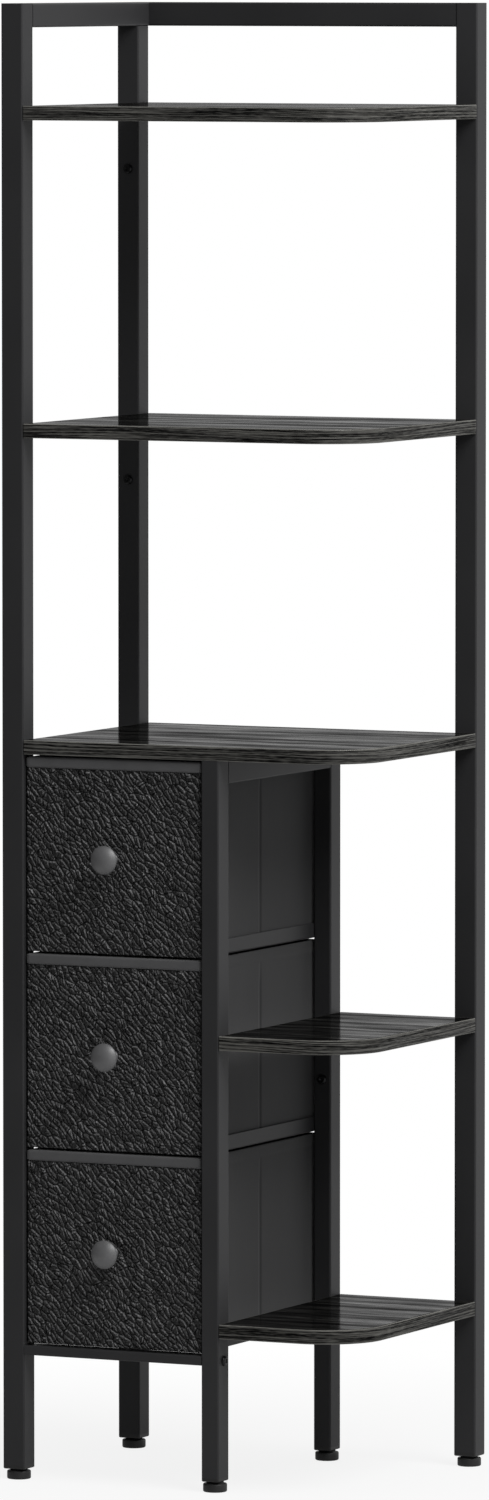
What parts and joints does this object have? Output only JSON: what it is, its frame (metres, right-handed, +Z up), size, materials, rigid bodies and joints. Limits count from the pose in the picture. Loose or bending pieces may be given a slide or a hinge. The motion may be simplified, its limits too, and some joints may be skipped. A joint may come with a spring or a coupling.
{
  "type": "corner shelf unit",
  "caption": "Tall black corner shelf unit: a steel tube frame on levelling feet, wood-grain boards with a rounded corner, and a bay of fabric drawers with leather-look fronts.",
  "frame": {"origin": "on the floor, at the middle of the unit's plan box", "axes": "+Z up, +X to the right along the wall, -Y to the front, where the drawers come out"},
  "size_m": [0.411, 0.35, 1.541],
  "materials": {
    "black_powder_coat": "satin powder coat",
    "black_oak_laminate": "brushed wood-grain laminate",
    "drawer_fabric": "stiff non-woven cloth",
    "embossed_leather": "embossed pebbled grain",
    "band_fabric": "plain folded hem",
    "base_sheet_board": "matt pressed board",
    "grey_knob": "satin dark grey",
    "black_plastic": "moulded",
    "black_bolt_steel": "black oxide",
    "plated_steel": "zinc plated"
  },
  "bodies": {
    "frame": {"front_left_post": "black_powder_coat", "rear_left_post": "black_powder_coat", "right_post": "black_powder_coat", "front_divider_post": "black_powder_coat", "rear_divider_post": "black_powder_coat", "top_side_rail": "black_powder_coat", "top_back_rail": "black_powder_coat", "bay_top_rail": "black_powder_coat", "front_bottom_rail": "black_powder_coat", "rear_bottom_rail": "black_powder_coat", "left_runner_1": "black_powder_coat", "right_runner_1": "black_powder_coat", "left_runner_2": "black_powder_coat", "right_runner_2": "black_powder_coat", "left_runner_3": "black_powder_coat", "right_runner_3": "black_powder_coat", "shelf_board_1": "black_oak_laminate", "shelf_board_2": "black_oak_laminate", "shelf_board_3": "black_oak_laminate", "shelf_board_4": "black_oak_laminate", "shelf_board_5": "black_oak_laminate", "post_foot_caps": "black_plastic", "divider_foot_caps": "black_plastic", "top_plugs": "black_plastic", "shelf_bolts": "black_bolt_steel", "divider_shelf_bolts": "black_bolt_steel", "rail_bolts": "black_bolt_steel", "rear_post_bolts": "black_bolt_steel", "board_sleeves": "plated_steel", "rail_end_nuts": "plated_steel"},
    "drawer_1": {"drawer_1_box": "drawer_fabric", "drawer_1_base_sheet": "base_sheet_board", "drawer_1_front": "embossed_leather", "drawer_1_band": "band_fabric", "drawer_1_knob": "grey_knob", "drawer_1_knob_screw": "plated_steel"},
    "drawer_2": {"drawer_2_box": "drawer_fabric", "drawer_2_base_sheet": "base_sheet_board", "drawer_2_front": "embossed_leather", "drawer_2_band": "band_fabric", "drawer_2_knob": "grey_knob", "drawer_2_knob_screw": "plated_steel"},
    "drawer_3": {"drawer_3_box": "drawer_fabric", "drawer_3_base_sheet": "base_sheet_board", "drawer_3_front": "embossed_leather", "drawer_3_band": "band_fabric", "drawer_3_knob": "grey_knob", "drawer_3_knob_screw": "plated_steel"},
    "front_left_foot": {"front_left_foot": "black_plastic"},
    "rear_left_foot": {"rear_left_foot": "black_plastic"},
    "right_foot": {"right_foot": "black_plastic"},
    "front_divider_foot": {"front_divider_foot": "black_plastic"},
    "rear_divider_foot": {"rear_divider_foot": "black_plastic"}
  },
  "joints": [
    {"name": "drawer_1_slide", "type": "slide", "parent": "frame", "child": "drawer_1", "axis": [0, -1, 0], "range_m": [0, 0.2]},
    {"name": "drawer_2_slide", "type": "slide", "parent": "frame", "child": "drawer_2", "axis": [0, -1, 0], "range_m": [0, 0.2]},
    {"name": "drawer_3_slide", "type": "slide", "parent": "frame", "child": "drawer_3", "axis": [0, -1, 0], "range_m": [0, 0.2]},
    {"name": "front_left_foot_screw", "type": "slide", "parent": "frame", "child": "front_left_foot", "axis": [0, 0, -1], "range_m": [0, 0.008]},
    {"name": "rear_left_foot_screw", "type": "slide", "parent": "frame", "child": "rear_left_foot", "axis": [0, 0, -1], "range_m": [0, 0.008]},
    {"name": "right_foot_screw", "type": "slide", "parent": "frame", "child": "right_foot", "axis": [0, 0, -1], "range_m": [0, 0.008]},
    {"name": "front_divider_foot_screw", "type": "slide", "parent": "frame", "child": "front_divider_foot", "axis": [0, 0, -1], "range_m": [0, 0.008]},
    {"name": "rear_divider_foot_screw", "type": "slide", "parent": "frame", "child": "rear_divider_foot", "axis": [0, 0, -1], "range_m": [0, 0.008]}
  ]
}
